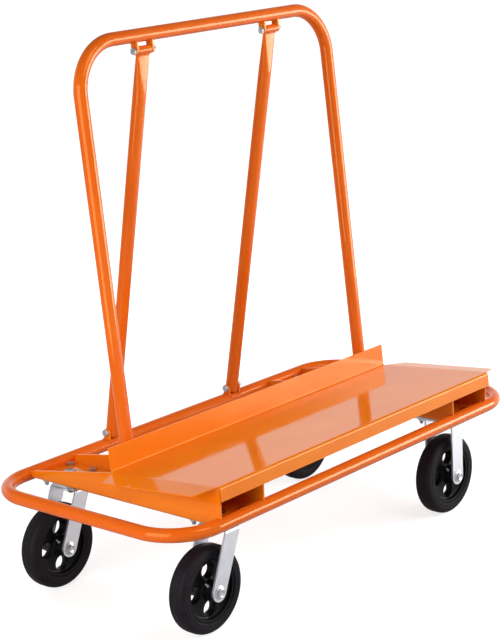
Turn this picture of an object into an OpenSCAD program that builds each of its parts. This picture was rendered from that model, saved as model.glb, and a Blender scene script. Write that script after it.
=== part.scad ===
// Drywall cart: a bent-tube ring on four casters, two end channels, a folded deck
// with a rear stop, and a hoop that two braces hold upright.
// Millimetres, +X along the cart to the rigid casters, -Y the loading side, +Z up.
// The origin is on the floor, under the middle of the ring.

/* [Deck] */
// Length of the folded deck, between the ends of its lip and stop
deck_len = 1016; // [900:1:1300]
// Depth of the deck, from its front edge to the stop
deck_depth = 331; // [270:1:420]
// Thickness of the deck sheet
deck_t = 3; // [2:0.5:4]
// Outside radius of the bend at the front lip
deck_bend = 6; // [5:0.5:8]
// Backward tilt of the deck, and of the hoop that stands square to it
deck_tilt = 5; // [2:0.5:8]
// Height of the front lip
lip_h = 34; // [20:1:45]
// Height of the rear stop
stop_h = 55; // [40:1:90]
// Width of the drooping tab at each end of the deck
tab_w = 59; // [30:1:75]
// Droop of the end tabs below the deck, in degrees
tab_droop = 6; // [0.5:0.5:10]
// Length cut off the two corners of each tab
tab_mitre = 22; // [5:1:40]
// Height of the deck's rear crease above the casters' plates
deck_rise = 70; // [60:1:90]

/* [Frame tubes] */
// Outside diameter of the ring, hoop and brace tubes
tube_d = 32; // [26:0.5:40]
// Wall of the tubes
tube_wall = 2; // [1.5:0.25:3]
// Width of the ring over its tubes
ring_wid = 640; // [600:5:780]
// How far the ring reaches past each end of the deck
ring_over = 137; // [134:1:200]
// Bend radius of the ring's corners, at the tube's centre
ring_bend = 115; // [60:5:116]
// Height of the ring's centre above the casters' plates
ring_rise = 8; // [6:1:12]
// Height of the hoop above the floor
hoop_h = 1290; // [1000:1:1600]
// Bend radius of the hoop's corners, at the tube's centre
hoop_bend = 115; // [80:5:180]
// Vent hole through the middle of the hoop's rail
vent_d = 6; // [3:0.5:8]

/* [End channels] */
// Outside width of each channel
chan_w = 145; // [138:1:175]
// Thickness of the channel sheet
chan_t = 4; // [3:0.5:5]
// Outside bend radius of the channel
chan_bend = 10; // [6:1:12]
// Height of the channel at its rear end
chan_tail = 18; // [14:1:22]

/* [Braces] */
// Distance between the two braces
brace_span = 444; // [300:1:560]
// Drop of the upper pins below the hoop's rail
brace_drop = 34; // [34:1:50]
// Rise of the lower pins above the ring's centre
brace_rise = 31; // [31:1:45]
// How far the lower pins sit inboard of the ring's centre
foot_inset = 4; // [3:0.5:6]
// Length of a brace below its lower pin
brace_tail = 10; // [8:0.5:12]
// Thickness of all ears
ear_t = 5; // [4:0.5:6]
// Width of the ears on the hoop's rail
top_ear_w = 20; // [18:1:28]
// Width of the ears on the ring
foot_ear_w = 20; // [18:1:31]
// Outside diameter of the brace's upper eye
eye_d = 20; // [17:0.5:24]
// Length of the brace's upper eye
eye_len = 44; // [38:1:50]
// Length over which the brace is pressed flat under its eye
flat_len = 110; // [60:1:140]
// Thickness of the brace where it is pressed flat
flat_t = 8; // [6:0.5:10]

/* [Casters] */
// Diameter of the wheels over the tyre
wheel_d = 203; // [170:1:250]
// Width of the tyre
tyre_w = 46; // [40:1:56]
// Thickness of the tyre, from tread to rim
tyre_t = 28; // [22:1:32]
// Height of the caster above its wheel
head_h = 57; // [52:1:75]
// Trail of the swivel casters, from kingpin to axle
trail = 56; // [40:1:68]
// Inside width of the forks
fork_in = 76; // [66:1:84]
// Thickness of the fork legs
fork_t = 5; // [4:0.5:6]
// Width of the fork legs
fork_leg = 43; // [36:1:48]
// Inside bend radius of the forks
fork_bend = 4; // [3:0.5:6]
// Gap between a caster's plate and the inside of the ring
caster_gap = 1; // [0.5:0.5:20]
// How far the rigid casters sit inboard of their channel's centre
rigid_shift = 12; // [0:1:14]
// Length of a caster's plate along the cart
plate_x = 108; // [102:1:112]
// Width of a caster's plate across the cart
plate_y = 102; // [100:1:106]
// Thickness of a caster's plate
plate_t = 6; // [5:0.5:8]
// Bolt spacing of a caster's plate along the cart
pattern_x = 80; // [78:1:84]
// Bolt spacing of a caster's plate across the cart
pattern_y = 76; // [74:1:80]
// Diameter of the kingpins
kingpin_d = 16; // [12:1:18]
// Diameter of the balls in the swivel race
ball_d = 9.5; // [8:0.5:10]
// Number of balls in a swivel race
ball_count = 16; // [10:1:17]
// Diameter of the circle that the balls run on
ball_circle = 58; // [56:1:60]
// Height of the swivel race, from plate to fork
race_h = 17; // [15:0.5:18]
// Inside diameter of the race rings
race_bore = 44; // [42:1:45]
// Outside diameter of the race rings
race_d = 72; // [71:1:74]
// Gap of the balls to their groove
groove_gap = 0.25; // [0.1:0.05:0.3]
// Outside diameter of the hub barrel
barrel_d = 46; // [40:1:50]
// Share of the width of the hub's disc that its holes take
hole_share = 0.83; // [0.4:0.01:0.86]
// Number of holes in the hub's disc
hub_holes = 4; // [3:1:4]
// Thickness of the hub's rim
rim_t = 7; // [6:0.5:9]
// Thickness of the hub's disc
disc_t = 20; // [10:1:24]
// Radius of the tyre's shoulders
shoulder_r = 14; // [10:1:17]
// Outside diameter of the axle sleeve
sleeve_d = 20; // [17:0.5:24]
// Outside diameter of the wheel bearing
bearing_d = 30; // [27:0.5:34]

/* [Fasteners and fits] */
// Diameter of the frame and caster bolts
bolt_d = 10; // [8:0.5:10]
// Width across the flats of the frame bolts
bolt_flats = 16; // [14:0.5:17]
// Diameter of the axle bolts
axle_d = 12; // [10:0.5:14]
// Width across the flats of the axle bolts
axle_flats = 19; // [17:0.5:21]
// How far a bolt's end stands out of its nut
bolt_stick = 3; // [1:0.5:5]
// How far a caster bolt's end stands out of its nut
plate_stick = 7; // [3:0.5:7]
// Added to a bolt's diameter for the hole it goes through
hole_gap = 0.5; // [0.2:0.1:1]
// Added to a shaft's diameter for the bore it turns in
run_gap = 0.1; // [0.04:0.02:0.18]
// Gap of a welded saddle to its tube
weld_gap = 0.15; // [0.05:0.05:0.4]
// Gap at the sides of a turning or pinned piece
side_gap = 0.5; // [0.3:0.1:0.8]

/* [Hidden] */
$fn = 64;
orange = "#F07A1C";
zinc = "#CDD0D4";
black = "#201E20";
iron = "#2A282A";
brass = "#B5A06A";

// Levels and places that follow from the sizes
wheel_r = wheel_d / 2;
base_z = wheel_d + head_h;
web_top = base_z + chan_t;
ring_z = base_z + ring_rise;
ring_len = deck_len + 2 * ring_over;
ring_x = ring_len / 2 - tube_d / 2;
ring_y = ring_wid / 2 - tube_d / 2;
crease_z = base_z + deck_rise;
stop_bend = deck_bend - deck_t;
lip_inset = 1.5;
tab_inset = 2;
crease_y = lip_inset - ring_wid / 2 + deck_depth * cos(deck_tilt) + lip_h * sin(deck_tilt);
chan_inset = 3;
chan_x = deck_len / 2 - chan_inset - chan_w / 2;
chan_front = crease_y - (deck_depth - deck_bend) * cos(deck_tilt);
chan_rear = ring_y - tube_d / 8;
knee_y = crease_y + deck_t;
leg_y = deck_t + weld_gap + tube_d / 2;
rail_up = (hoop_h - tube_d / 2 - crease_z + leg_y * sin(deck_tilt)) / cos(deck_tilt);
brace_x = brace_span / 2;
pin_up = rail_up - brace_drop;
top_pin_y = crease_y + leg_y * cos(deck_tilt) + pin_up * sin(deck_tilt);
top_pin_z = crease_z - leg_y * sin(deck_tilt) + pin_up * cos(deck_tilt);
foot_pin_y = ring_y - foot_inset;
foot_pin_z = ring_z + brace_rise;
brace_len = norm([foot_pin_y - top_pin_y, top_pin_z - foot_pin_z]);
brace_lean = atan2(foot_pin_y - top_pin_y, top_pin_z - foot_pin_z);
foot_bolt_up = 22;
fan_step = 0.1;
fan_plug = 1;
foot_clear = tube_d + 2 * weld_gap;
top_clear = eye_len + 2 * side_gap;
brace_clear = tube_d + 2 * side_gap;
caster_y = ring_wid / 2 - tube_d - caster_gap - plate_y / 2;
plate_under = base_z - plate_t;
crown_top = plate_under - race_h;
ball_z = (crown_top + plate_under) / 2;
groove_r = ball_d / 2 + groove_gap;
race_split = 1.2;
skirt_gap = 2;
skirt_t = 4;
crown_margin = 6;
kingpin_flats = 1.5 * kingpin_d;
nut_drop = 0.3;
kingpin_room = 34;
rim_r = wheel_r - tyre_t;
rim_w = tyre_w - 6;
bead_rise = 6;
bead_r = 1.6;
fork_out = fork_in + 2 * fork_t;
hub_len = fork_in - 2 * side_gap;
head_ratio = 0.65;
nut_ratio = 0.8;
reach = 2000;

// Name, x, y of each caster
swivels = [["left_front", -chan_x, -caster_y], ["left_rear", -chan_x, caster_y]];
rigids = [["right_front", chan_x - rigid_shift, -caster_y], ["right_rear", chan_x - rigid_shift, caster_y]];
swivel_pieces = ["plate", "upper_race", "balls", "lower_race", "kingpin", "kingpin_nut", "fork"];
wheel_pieces = ["axle_bolt", "axle_nut", "axle_sleeve", "bearing", "hub", "tyre"];
frame_pieces = ["perimeter_ring", "left_channel", "right_channel", "deck", "hoop", "hoop_foot_ears",
    "hoop_foot_bolts", "hoop_foot_nuts", "left_brace", "right_brace", "brace_top_ears", "brace_top_bolts",
    "brace_top_nuts", "brace_foot_ears", "brace_foot_bolts", "brace_foot_nuts", "caster_bolts",
    "caster_nuts"];

// Shared shapes

// Carries a piece into the tilted frame of the deck, with its origin at the crease
module tilted() {
    translate([0, crease_y, crease_z]) rotate([-deck_tilt, 0, 0]) children();
}

// A flat outline in Y and Z, given thickness along X about x = 0
module across(thick) {
    rotate([90, 0, 90]) linear_extrude(height = thick, center = true) children();
}

// A flat outline in X and Z, given thickness along Y about y = 0
module along(thick) {
    rotate([90, 0, 0]) linear_extrude(height = thick, center = true) children();
}

module tube_section() {
    difference() {
        circle(d = tube_d);
        circle(d = tube_d - 2 * tube_wall);
    }
}

// A straight tube of the frame, centred, along Z
module tube(length) {
    linear_extrude(height = length, center = true) tube_section();
}

// A quarter bend of the frame tube, in the XY plane about the origin
module elbow(radius) {
    rotate_extrude(angle = 90) translate([radius, 0]) tube_section();
}

// A quarter of a sheet bend in the quadrant of +x and +y
module bend_section(outer, thick) {
    intersection() {
        difference() {
            circle(r = outer);
            circle(r = outer - thick);
        }
        square(outer);
    }
}

// The room that a tube along X takes, with the gap of a welded saddle
module saddle_room() {
    rotate([0, 90, 0]) cylinder(d = tube_d + 2 * weld_gap, h = reach, center = true);
}

// A hex bolt along +Z with its head under the origin
module hex_bolt(d, flats, length) {
    head_t = d * head_ratio;
    translate([0, 0, -head_t]) cylinder(d = flats / cos(30), h = head_t, $fn = 6);
    cylinder(d = d, h = length);
}

// A hex nut along +Z from the origin
module hex_nut(d, flats) {
    difference() {
        cylinder(d = flats / cos(30), h = d * nut_ratio, $fn = 6);
        translate([0, 0, -1]) cylinder(d = d + run_gap, h = d * nut_ratio + 2);
    }
}

// A round-ended ear in Y and Z with its pin hole at the origin, reaching down or up
module ear_outline(width, rise) {
    difference() {
        union() {
            circle(d = width);
            translate([-width / 2, min(0, rise)]) square([width, abs(rise)]);
        }
        circle(d = bolt_d + hole_gap);
    }
}

// A pair of ears about x = 0 with a clear width between them
module ear_pair(clear_w, width, rise) {
    for (side = [-1, 1])
        translate([side * (clear_w + ear_t) / 2, 0, 0]) across(ear_t) ear_outline(width, rise);
}

// A bolt along X through a pair of ears, centred on them
module cross_bolt(clear_w) {
    grip = clear_w + 2 * ear_t;
    translate([-grip / 2, 0, 0]) rotate([0, 90, 0])
        hex_bolt(bolt_d, bolt_flats, grip + bolt_d * nut_ratio + bolt_stick);
}

module cross_nut(clear_w) {
    translate([clear_w / 2 + ear_t, 0, 0]) rotate([0, 90, 0]) hex_nut(bolt_d, bolt_flats);
}

// The four bolt places of a caster's plate
module at_plate_bolts() {
    for (x = [-1, 1], y = [-1, 1]) translate([x * pattern_x / 2, y * pattern_y / 2, 0]) children();
}

// Ring, channels and deck

module perimeter_ring() {
    corner_x = ring_x - ring_bend;
    corner_y = ring_y - ring_bend;
    color(orange) translate([0, 0, ring_z]) {
        for (side = [-1, 1]) {
            translate([0, side * ring_y, 0]) rotate([0, 90, 0]) tube(2 * corner_x);
            translate([side * ring_x, 0, 0]) rotate([90, 0, 0]) tube(2 * corner_y);
            translate([side * corner_x, side * corner_y, 0])
                rotate([0, 0, side > 0 ? 0 : 180]) elbow(ring_bend);
            translate([-side * corner_x, side * corner_y, 0])
                rotate([0, 0, side > 0 ? 90 : 270]) elbow(ring_bend);
        }
    }
}

// Underside of the deck sheet at a given y
function under_deck(y) = crease_z - (y - crease_y) * tan(deck_tilt) - deck_t / cos(deck_tilt);

// The folded U of a channel, in X and Z, with its web on z = 0
module channel_section(height) {
    half = chan_w / 2;
    translate([-half + chan_bend, 0]) square([chan_w - 2 * chan_bend, chan_t]);
    for (side = [0, 1]) mirror([side, 0]) {
        translate([half - chan_bend, chan_bend]) mirror([0, 1]) bend_section(chan_bend, chan_t);
        translate([half - chan_t, chan_bend]) square([chan_t, height - chan_bend]);
    }
}

// Side outline of a channel, in Y and Z
module channel_side() {
    polygon([
        [chan_front, base_z - 1],
        [chan_front, under_deck(chan_front)],
        [knee_y, under_deck(knee_y)],
        [chan_rear, base_z + chan_tail],
        [chan_rear, base_z - 1]]);
}

module channel() {
    length = chan_rear - chan_front;
    difference() {
        intersection() {
            translate([0, (chan_front + chan_rear) / 2, base_z])
                along(length) channel_section(under_deck(chan_front) - base_z + 1);
            across(chan_w + 2) channel_side();
        }
        for (side = [-1, 1]) translate([0, side * ring_y, ring_z]) {
            saddle_room();
            translate([-reach / 2, side > 0 ? 0 : -reach, -reach]) cube([reach, reach, reach]);
        }
    }
}

// Bolt holes for one caster, through whatever lies on its plate
module plate_holes() {
    at_plate_bolts() translate([0, 0, plate_under - 1])
        cylinder(d = bolt_d + hole_gap, h = plate_t + chan_t + 2);
}

// The channel over the swivel casters has a hole in its web around each kingpin's head
module left_channel() {
    color(orange) difference() {
        translate([-chan_x, 0, 0]) channel();
        for (c = swivels) translate([c[1], c[2], 0]) {
            plate_holes();
            translate([0, 0, base_z - 1]) cylinder(d = kingpin_room, h = chan_t + 2);
        }
    }
}

module right_channel() {
    color(orange) difference() {
        translate([chan_x, 0, 0]) channel();
        for (c = rigids) translate([c[1], c[2], 0]) plate_holes();
    }
}

// Folded outline of the deck in Y and Z, with its crease at the origin
module deck_section() {
    translate([-deck_depth + deck_bend, -deck_t]) square([deck_depth - deck_bend - stop_bend, deck_t]);
    translate([-deck_depth + deck_bend, -deck_bend]) mirror([1, 0]) bend_section(deck_bend, deck_t);
    translate([-deck_depth, -lip_h]) square([deck_t, lip_h - deck_bend]);
    translate([-stop_bend, stop_bend]) mirror([0, 1]) bend_section(deck_bend, deck_t);
    translate([0, stop_bend]) square([deck_t, stop_h - stop_bend]);
}

// Drooping tab at the +X end of the deck
module deck_tab() {
    front = -deck_depth + deck_bend + tab_inset;
    rear = -stop_bend - tab_inset;
    translate([deck_len / 2, 0, 0]) rotate([0, tab_droop, 0]) translate([0, 0, -deck_t])
        linear_extrude(height = deck_t) polygon([
            [0, front],
            [tab_w, front + tab_mitre],
            [tab_w, rear - tab_mitre],
            [0, rear]]);
}

module deck() {
    color(orange) tilted() {
        across(deck_len) deck_section();
        for (side = [0, 1]) mirror([side, 0, 0]) deck_tab();
    }
}

// Hoop and its feet

// Everything below the upper face of the channels' webs
module under_web() {
    translate([-reach / 2, -reach / 2, web_top - reach]) cube(reach);
}

module hoop() {
    straight = rail_up - hoop_bend;
    below = 2 * deck_rise;
    color(orange) difference() {
        tilted() translate([0, leg_y, 0]) {
            for (side = [0, 1]) mirror([side, 0, 0]) {
                translate([chan_x, 0, (straight - below) / 2]) tube(straight + below);
                translate([chan_x - hoop_bend, 0, straight]) rotate([90, 0, 0]) elbow(hoop_bend);
            }
            translate([0, 0, rail_up]) rotate([0, 90, 0]) tube(2 * (chan_x - hoop_bend));
        }
        under_web();
        tilted() translate([0, leg_y, rail_up]) cylinder(d = vent_d, h = 2 * tube_d, center = true);
        tilted() translate([0, leg_y, foot_bolt_up]) rotate([0, 90, 0])
            cylinder(d = bolt_d + hole_gap, h = deck_len, center = true);
    }
}

// The places of the two bolted leg feet
module at_hoop_feet() {
    for (side = [-1, 1]) tilted() translate([side * chan_x, leg_y, foot_bolt_up]) children();
}

module hoop_foot_ears() {
    color(orange) difference() {
        at_hoop_feet() ear_pair(foot_clear, tube_d, -2 * deck_rise);
        under_web();
    }
}

module hoop_foot_bolts() {
    color(zinc) at_hoop_feet() cross_bolt(foot_clear);
}

module hoop_foot_nuts() {
    color(zinc) at_hoop_feet() cross_nut(foot_clear);
}

// Braces with their ears, bolts and nuts

// A brace along Z from its lower pin, ending in its upper eye
module brace() {
    flat_w = eye_len - 4;
    flat_z = brace_len - eye_d / 2;
    tube_end = brace_len - flat_len;
    color(orange) translate([0, foot_pin_y, foot_pin_z]) rotate([brace_lean, 0, 0]) {
        difference() {
            translate([0, 0, (tube_end - brace_tail) / 2]) tube(tube_end + brace_tail);
            rotate([0, 90, 0]) cylinder(d = bolt_d + hole_gap, h = 2 * tube_d, center = true);
        }
        difference() {
            union() {
                hull() {
                    translate([0, 0, tube_end - fan_plug])
                        cylinder(d = tube_d - 2 * fan_step, h = fan_plug, $fn = 32);
                    translate([-flat_w / 2, -flat_t / 2, flat_z]) cube([flat_w, flat_t, fan_plug]);
                }
                translate([-flat_w / 2, -flat_t / 2, flat_z]) cube([flat_w, flat_t, eye_d / 2]);
                translate([0, 0, brace_len]) rotate([0, 90, 0])
                    cylinder(d = eye_d, h = eye_len, center = true);
            }
            translate([0, 0, brace_len]) rotate([0, 90, 0])
                cylinder(d = bolt_d + hole_gap, h = 2 * eye_len, center = true);
        }
    }
}

module left_brace() {
    translate([-brace_x, 0, 0]) brace();
}

module right_brace() {
    translate([brace_x, 0, 0]) brace();
}

// The places of the upper and lower brace pins
module at_top_pins() {
    for (side = [-1, 1]) tilted() translate([side * brace_x, leg_y, pin_up]) children();
}

module at_foot_pins() {
    for (side = [-1, 1]) translate([side * brace_x, foot_pin_y, foot_pin_z]) children();
}

module brace_top_ears() {
    color(orange) difference() {
        at_top_pins() ear_pair(top_clear, top_ear_w, brace_drop);
        tilted() translate([0, leg_y, rail_up]) saddle_room();
    }
}

module brace_top_bolts() {
    color(zinc) at_top_pins() cross_bolt(top_clear);
}

module brace_top_nuts() {
    color(zinc) at_top_pins() cross_nut(top_clear);
}

module brace_foot_ears() {
    color(orange) difference() {
        at_foot_pins() ear_pair(brace_clear, foot_ear_w, -brace_rise);
        translate([0, ring_y, ring_z]) saddle_room();
    }
}

module brace_foot_bolts() {
    color(zinc) at_foot_pins() cross_bolt(brace_clear);
}

module brace_foot_nuts() {
    color(zinc) at_foot_pins() cross_nut(brace_clear);
}

// Caster bolts, heads on the channels' webs and nuts under the plates

module caster_bolts() {
    grip = chan_t + plate_t;
    color(zinc) for (c = concat(swivels, rigids)) translate([c[1], c[2], web_top])
        at_plate_bolts() mirror([0, 0, 1])
            hex_bolt(bolt_d, bolt_flats, grip + bolt_d * nut_ratio + plate_stick);
}

module caster_nuts() {
    color(zinc) for (c = concat(swivels, rigids)) translate([c[1], c[2], plate_under])
        at_plate_bolts() mirror([0, 0, 1]) hex_nut(bolt_d, bolt_flats);
}

// Swivel head, each piece about the kingpin's axis

module plate_blank() {
    translate([-plate_x / 2, -plate_y / 2, plate_under]) cube([plate_x, plate_y, plate_t]);
}

module swivel_plate() {
    color(zinc) difference() {
        plate_blank();
        plate_holes();
        translate([0, 0, plate_under - 1]) cylinder(d = kingpin_d + run_gap, h = plate_t + 2);
    }
}

module ball_groove() {
    translate([0, 0, ball_z]) rotate_extrude() translate([ball_circle / 2, 0]) circle(r = groove_r);
}

// A flat ring between two diameters and two heights
module race_ring(inner, outer, low, high) {
    translate([0, 0, low]) linear_extrude(height = high - low) difference() {
        circle(d = outer);
        circle(d = inner);
    }
}

// Upper race under the plate, with a skirt that keeps dust off the balls
module upper_race() {
    skirt_in = race_d + 2 * skirt_gap;
    skirt_out = skirt_in + 2 * skirt_t;
    color(zinc) difference() {
        union() {
            race_ring(race_bore, skirt_out, ball_z + race_split, plate_under);
            race_ring(skirt_in, skirt_out, crown_top + skirt_t, plate_under);
        }
        ball_groove();
    }
}

module lower_race() {
    color(zinc) difference() {
        race_ring(race_bore, race_d, crown_top, ball_z - race_split);
        ball_groove();
    }
}

module balls() {
    color(zinc) for (i = [0 : ball_count - 1]) rotate([0, 0, i * 360 / ball_count])
        translate([ball_circle / 2, 0, ball_z]) sphere(d = ball_d);
}

module kingpin() {
    length = base_z - crown_top + fork_t + nut_drop + kingpin_d * nut_ratio + bolt_stick;
    color(zinc) translate([0, 0, base_z]) mirror([0, 0, 1]) hex_bolt(kingpin_d, kingpin_flats, length);
}

module kingpin_nut() {
    color(zinc) translate([0, 0, crown_top - fork_t - nut_drop])
        mirror([0, 0, 1]) hex_nut(kingpin_d, kingpin_flats);
}

// Forks

// A block open downward with round upper corners, in Y and Z, with its top on z = 0
module arch(width, depth, radius) {
    half = width / 2;
    translate([-half, -depth]) square([width, depth - radius]);
    translate([-half + radius, -depth]) square([width - 2 * radius, depth]);
    for (side = [-1, 1]) translate([side * (half - radius), -radius]) circle(r = radius);
}

// Folded U of a fork in Y and Z, open downward, with the top of its crown on z = 0
module fork_section(depth) {
    difference() {
        arch(fork_out, depth, fork_bend + fork_t);
        translate([0, -fork_t]) arch(fork_in, depth, fork_bend);
    }
}

// Strap of a fork, from its round axle end up through its crown
module fork_strap(crown_z, axle_x) {
    rise = crown_z - wheel_r;
    translate([axle_x, 0, wheel_r]) {
        rotate([0, atan2(-axle_x, rise), 0]) translate([-fork_leg / 2, -fork_out, 0])
            cube([fork_leg, 2 * fork_out, 2 * rise]);
        rotate([90, 0, 0]) cylinder(d = fork_leg, h = 2 * fork_out, center = true);
    }
}

// A fork folded from a strap that widens to a disc on top
module folded_fork(disc_d, crown_z, axle_x) {
    difference() {
        intersection() {
            translate([0, 0, crown_z]) across(wheel_d) fork_section(crown_z);
            union() {
                fork_strap(crown_z, axle_x);
                translate([0, 0, crown_z]) cylinder(d = disc_d, h = fork_out, center = true);
            }
        }
        translate([axle_x, 0, wheel_r]) rotate([90, 0, 0])
            cylinder(d = axle_d + hole_gap, h = 2 * fork_out, center = true);
    }
}

module fork() {
    color(zinc) difference() {
        folded_fork(race_d + crown_margin, crown_top, -trail);
        translate([0, 0, crown_top - fork_t - 1]) cylinder(d = kingpin_d + run_gap, h = fork_t + 2);
    }
}

// Rigid caster: a plate with a straight fork welded under it
module bracket() {
    color(zinc) {
        difference() {
            plate_blank();
            plate_holes();
        }
        folded_fork(fork_leg + crown_margin, plate_under, 0);
    }
}

// Wheel, each piece about an axle along Y through the origin

module axle_bolt() {
    color(zinc) translate([0, -fork_out / 2, 0]) rotate([-90, 0, 0])
        hex_bolt(axle_d, axle_flats, fork_out + axle_d * nut_ratio + bolt_stick);
}

module axle_nut() {
    color(zinc) translate([0, fork_out / 2, 0]) rotate([-90, 0, 0]) hex_nut(axle_d, axle_flats);
}

// A plain tube along Y
module sleeve_tube(inner, outer, length) {
    along(length) difference() {
        circle(d = outer);
        circle(d = inner);
    }
}

module axle_sleeve() {
    color(zinc) sleeve_tube(axle_d + hole_gap, sleeve_d, fork_in);
}

module bearing() {
    color(brass) sleeve_tube(sleeve_d + run_gap, bearing_d - run_gap, hub_len);
}

// Cast hub: barrel, holed disc and rim
module hub() {
    disc_w = rim_r - rim_t - barrel_d / 2;
    hole_circle = (barrel_d + disc_w) / 2;
    color(iron) {
        sleeve_tube(bearing_d, barrel_d, hub_len);
        sleeve_tube(2 * (rim_r - rim_t), 2 * rim_r, rim_w);
        along(disc_t) difference() {
            circle(r = rim_r - rim_t);
            circle(d = barrel_d);
            for (i = [0 : hub_holes - 1]) rotate(90 + i * 360 / hub_holes)
                translate([hole_circle, 0]) circle(d = hole_share * disc_w);
        }
    }
}

// Outline of the tyre, its radius along x and its width along y, with a groove by each bead
module tyre_section() {
    half = tyre_w / 2;
    difference() {
        union() {
            translate([rim_r, -half]) square([tyre_t - shoulder_r, tyre_w]);
            translate([rim_r, -half + shoulder_r]) square([tyre_t, tyre_w - 2 * shoulder_r]);
            for (side = [-1, 1])
                translate([wheel_r - shoulder_r, side * (half - shoulder_r)]) circle(r = shoulder_r);
        }
        for (side = [-1, 1]) translate([rim_r + bead_rise, side * half]) circle(r = bead_r);
    }
}

module tyre() {
    color(black) rotate([90, 0, 0]) rotate_extrude() tyre_section();
}

// One piece of a wheel, by its name
module wheel_piece(name) {
    if (name == "axle_bolt") axle_bolt();
    if (name == "axle_nut") axle_nut();
    if (name == "axle_sleeve") axle_sleeve();
    if (name == "bearing") bearing();
    if (name == "hub") hub();
    if (name == "tyre") tyre();
}

// One piece of a swivel head, by its name
module swivel_piece(name) {
    if (name == "plate") swivel_plate();
    if (name == "upper_race") upper_race();
    if (name == "balls") balls();
    if (name == "lower_race") lower_race();
    if (name == "kingpin") kingpin();
    if (name == "kingpin_nut") kingpin_nut();
    if (name == "fork") fork();
}

// The object

perimeter_ring();
left_channel();
right_channel();
deck();
hoop();
hoop_foot_ears();
hoop_foot_bolts();
hoop_foot_nuts();
left_brace();
right_brace();
brace_top_ears();
brace_top_bolts();
brace_top_nuts();
brace_foot_ears();
brace_foot_bolts();
brace_foot_nuts();
caster_bolts();
caster_nuts();

for (c = swivels) {
    for (p = swivel_pieces)
        translate([c[1], c[2], 0]) swivel_piece(p);
    for (p = wheel_pieces)
        translate([c[1] - trail, c[2], wheel_r]) wheel_piece(p);
}

for (c = rigids) {
    translate([c[1], c[2], 0]) bracket();
    for (p = wheel_pieces)
        translate([c[1], c[2], wheel_r]) wheel_piece(p);
}
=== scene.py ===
# Drywall cart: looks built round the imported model
import math
import bmesh
import bpy
from mathutils import Matrix, Quaternion, Vector


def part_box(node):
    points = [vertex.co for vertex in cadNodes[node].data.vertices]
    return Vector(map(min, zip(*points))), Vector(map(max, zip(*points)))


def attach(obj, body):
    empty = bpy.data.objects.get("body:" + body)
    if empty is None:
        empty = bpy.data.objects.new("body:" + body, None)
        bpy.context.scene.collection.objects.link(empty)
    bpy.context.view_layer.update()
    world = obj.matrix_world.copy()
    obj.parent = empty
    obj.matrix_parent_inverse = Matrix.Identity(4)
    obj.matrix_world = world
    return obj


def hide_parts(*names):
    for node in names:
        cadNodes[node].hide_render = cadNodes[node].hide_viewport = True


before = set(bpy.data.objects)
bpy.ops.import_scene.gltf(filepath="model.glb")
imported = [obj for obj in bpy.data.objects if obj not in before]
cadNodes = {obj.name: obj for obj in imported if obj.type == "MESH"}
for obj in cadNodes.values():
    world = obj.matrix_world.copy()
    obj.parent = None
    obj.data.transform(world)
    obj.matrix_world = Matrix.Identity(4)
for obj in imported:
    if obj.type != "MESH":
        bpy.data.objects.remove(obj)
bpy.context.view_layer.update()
scene = bpy.context.scene
perMetre = 1000  # pieces are drawn in millimetres and shrunk to metres when they are finished
print("frame loaded", len(cadNodes), "nodes")


def nodeBox(node):
    low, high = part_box(node)
    return low * perMetre, high * perMetre


def nodeMiddle(node):
    low, high = nodeBox(node)
    return (low + high) / 2


def camelName(node):
    first, *rest = node.split("_")
    return first + "".join(word.title() for word in rest)


def addObject(name, data):
    made = bpy.data.objects.new(name, data)
    scene.collection.objects.link(made)
    return made


def addNode(tree, kind, inputs=None, **settings):
    node = tree.nodes.new(kind)
    for name, value in settings.items():
        setattr(node, name, value)
    for key, value in (inputs or {}).items():
        if isinstance(value, bpy.types.NodeSocket):
            tree.links.new(value, node.inputs[key])
        else:
            node.inputs[key].default_value = value
    return node


def linear(hexColour):  # the sRGB curve, undone
    shares = [int(hexColour[i:i + 2], 16) / 255 for i in (1, 3, 5)]
    return [s / 12.92 if s <= 0.04045 else ((s + 0.055) / 1.055) ** 2.4 for s in shares] + [1]


def perSize(millimetres):  # texture scale for a pattern of that size
    return perMetre / millimetres


# Materials: each dictionary holds the settings of its nodes, by socket

def newFinish(name):
    finish = bpy.data.materials.new(name)
    finish.use_nodes = True
    tree = finish.node_tree
    tree.nodes.clear()
    return finish, tree, addNode(tree, "ShaderNodeTexCoord").outputs["Object"]


# Powder coat: sprayed dry and baked on steel. A deep gloss film that mirrors what it meets at a slant,
# with a faint orange peel, thinner and redder in places, and a few scuffs that dull it.
powder = {"film": {"Scale": perSize(170), "Detail": 2.0},
          "scuffs": {"Scale": perSize(30), "Detail": 6.0, "Roughness": 0.65},
          "gloss": {"From Min": 0.5, "From Max": 0.75, "To Min": 0.07, "To Max": 0.2},
          "wave": {"Scale": perSize(140), "Detail": 1.0},
          "waveBump": {"Strength": 0.3, "Distance": 0.0006},
          "peel": {"Scale": perSize(3.2), "Detail": 1.0},
          "peelBump": {"Strength": 0.06, "Distance": 0.0001},
          "skin": {"IOR": 1.5, "Specular Tint": linear("#FFD090")}}


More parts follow.
